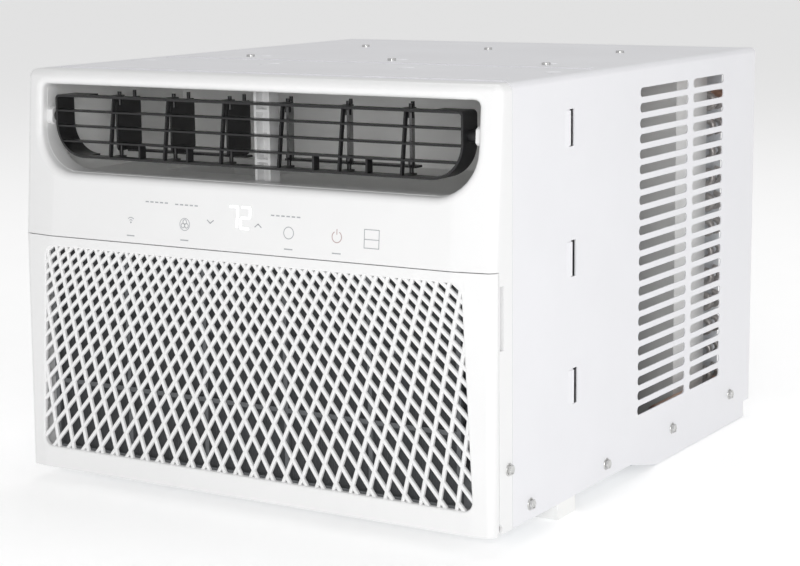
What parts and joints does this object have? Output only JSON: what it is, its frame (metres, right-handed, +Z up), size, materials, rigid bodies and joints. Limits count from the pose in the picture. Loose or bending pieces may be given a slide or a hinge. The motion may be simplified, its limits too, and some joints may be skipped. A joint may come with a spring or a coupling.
{
  "type": "window air conditioner",
  "caption": "Window air conditioner: sheet cabinet with side vents, moulded front with tilting louvre and turning vanes over a hinged lattice intake grille, refrigeration machinery inside.",
  "frame": {"origin": "centre of the footprint, on the surface that the sump and sill rail rest on", "axes": "+Z up, front faces -Y, +X to the right of someone facing the front"},
  "size_m": [0.4898, 0.547, 0.377],
  "materials": {
    "cabinet_paint": "satin powder coat",
    "galvanised_sheet": "galvanised",
    "panel_plastic": "fine satin moulding",
    "grille_plastic": "fine satin moulding",
    "filter_plastic": "matte",
    "filter_net": "fine nylon net",
    "black_plastic": "satin",
    "duct_plastic": "matte",
    "foam": "closed-cell foam",
    "fins": "bare fins",
    "copper": "copper tube",
    "steel": "zinc plated",
    "compressor_paint": "gloss black enamel",
    "motor_steel": "satin",
    "rubber": "matte",
    "board": "circuit board",
    "fan_plastic": "matte"
  },
  "bodies": {
    "casing": {"cabinet_shell": "cabinet_paint", "base_pan": "galvanised_sheet", "sill_rail": "duct_plastic", "drain_plug": "rubber", "cord_gland": "black_plastic", "front_bezel": "panel_plastic", "control_board": "board", "display_module": "black_plastic", "board_screws": "steel", "outlet_duct": "duct_plastic", "duct_post": "panel_plastic", "scroll_housing": "duct_plastic", "inlet_ring": "duct_plastic", "evaporator_coil": "fins", "evaporator_end_plates": "galvanised_sheet", "evaporator_bends": "copper", "drip_tray": "foam", "foam_seal": "foam", "air_sensor": "black_plastic", "bulkhead": "galvanised_sheet", "control_box": "galvanised_sheet", "control_box_cover": "galvanised_sheet", "inverter_board": "board", "fan_motor": "motor_steel", "motor_bracket": "galvanised_sheet", "motor_screws": "steel", "condenser_shroud": "duct_plastic", "condenser_coil": "fins", "condenser_end_plates": "galvanised_sheet", "condenser_bends": "copper", "compressor": "compressor_paint", "compressor_grommets": "rubber", "compressor_bolts": "steel", "accumulator": "compressor_paint", "suction_line": "copper", "link_pipe": "copper", "discharge_line": "copper", "liquid_line": "copper", "filter_drier": "copper", "capillary_tube": "copper", "side_screws": "steel", "bezel_screws": "steel", "top_screws": "steel", "rail_screws": "steel"},
    "intake_grille_body": {"intake_grille": "grille_plastic", "grille_hinge_pins": "steel", "filter_frame": "filter_plastic", "filter_mesh": "filter_net"},
    "louvre": {"louvre_cradle": "black_plastic"},
    "rotor": {"motor_shaft": "steel", "blower_wheel": "fan_plastic", "condenser_fan": "fan_plastic"},
    "left_link": {"left_tie_rod": "black_plastic"},
    "right_link": {"right_tie_rod": "black_plastic"},
    "vane_1_body": {"vane_1": "black_plastic"},
    "vane_2_body": {"vane_2": "black_plastic"},
    "vane_3_body": {"vane_3": "black_plastic"},
    "vane_4_body": {"vane_4": "black_plastic"},
    "vane_5_body": {"vane_5": "black_plastic"},
    "vane_6_body": {"vane_6": "black_plastic"}
  },
  "joints": [
    {"name": "grille_hinge", "type": "hinge", "parent": "casing", "child": "intake_grille_body", "pos_m": [0, -0.2625, 0.0185], "axis": [1, 0, 0], "range_deg": [0, 70]},
    {"name": "louvre_tilt", "type": "hinge", "parent": "casing", "child": "louvre", "pos_m": [0, -0.2463, 0.333], "axis": [1, 0, 0], "range_deg": [-12, 12]},
    {"name": "fan_spin", "type": "hinge", "parent": "casing", "child": "rotor", "pos_m": [-0.06, -0.2735, 0.178], "axis": [0, 1, 0], "continuous": true},
    {"name": "vane_1_turn", "type": "hinge", "parent": "louvre", "child": "vane_1_body", "pos_m": [-0.15, -0.2393, 0.2975], "axis": [0, 0, 1], "range_deg": [-30, 30]},
    {"name": "vane_2_turn", "type": "hinge", "parent": "louvre", "child": "vane_2_body", "pos_m": [-0.09, -0.2393, 0.2975], "axis": [0, 0, 1], "range_deg": [-30, 30]},
    {"name": "vane_3_turn", "type": "hinge", "parent": "louvre", "child": "vane_3_body", "pos_m": [-0.03, -0.2393, 0.2975], "axis": [0, 0, 1], "range_deg": [-30, 30]},
    {"name": "vane_4_turn", "type": "hinge", "parent": "louvre", "child": "vane_4_body", "pos_m": [0.03, -0.2393, 0.2975], "axis": [0, 0, 1], "range_deg": [-57, 3]},
    {"name": "vane_5_turn", "type": "hinge", "parent": "louvre", "child": "vane_5_body", "pos_m": [0.09, -0.2393, 0.2975], "axis": [0, 0, 1], "range_deg": [-57, 3]},
    {"name": "vane_6_turn", "type": "hinge", "parent": "louvre", "child": "vane_6_body", "pos_m": [0.15, -0.2393, 0.2975], "axis": [0, 0, 1], "range_deg": [-57, 3]},
    {"name": "left_link_slide", "type": "slide", "parent": "louvre", "child": "left_link", "axis": [1, 0, 0], "range_m": [-0.0107, 0.0107]},
    {"name": "right_link_slide", "type": "slide", "parent": "louvre", "child": "right_link", "axis": [1, 0, 0], "range_m": [-0.00125, 0.02023]}
  ],
  "couplings": [
    {"joint": "vane_2_turn", "follows": "vane_1_turn", "ratio": 1},
    {"joint": "vane_3_turn", "follows": "vane_1_turn", "ratio": 1},
    {"joint": "vane_5_turn", "follows": "vane_4_turn", "ratio": 1},
    {"joint": "vane_6_turn", "follows": "vane_4_turn", "ratio": 1},
    {"joint": "left_link_slide", "follows": "vane_1_turn", "m_per_rad": -0.020054},
    {"joint": "right_link_slide", "follows": "vane_4_turn", "m_per_rad": -0.020138}
  ]
}
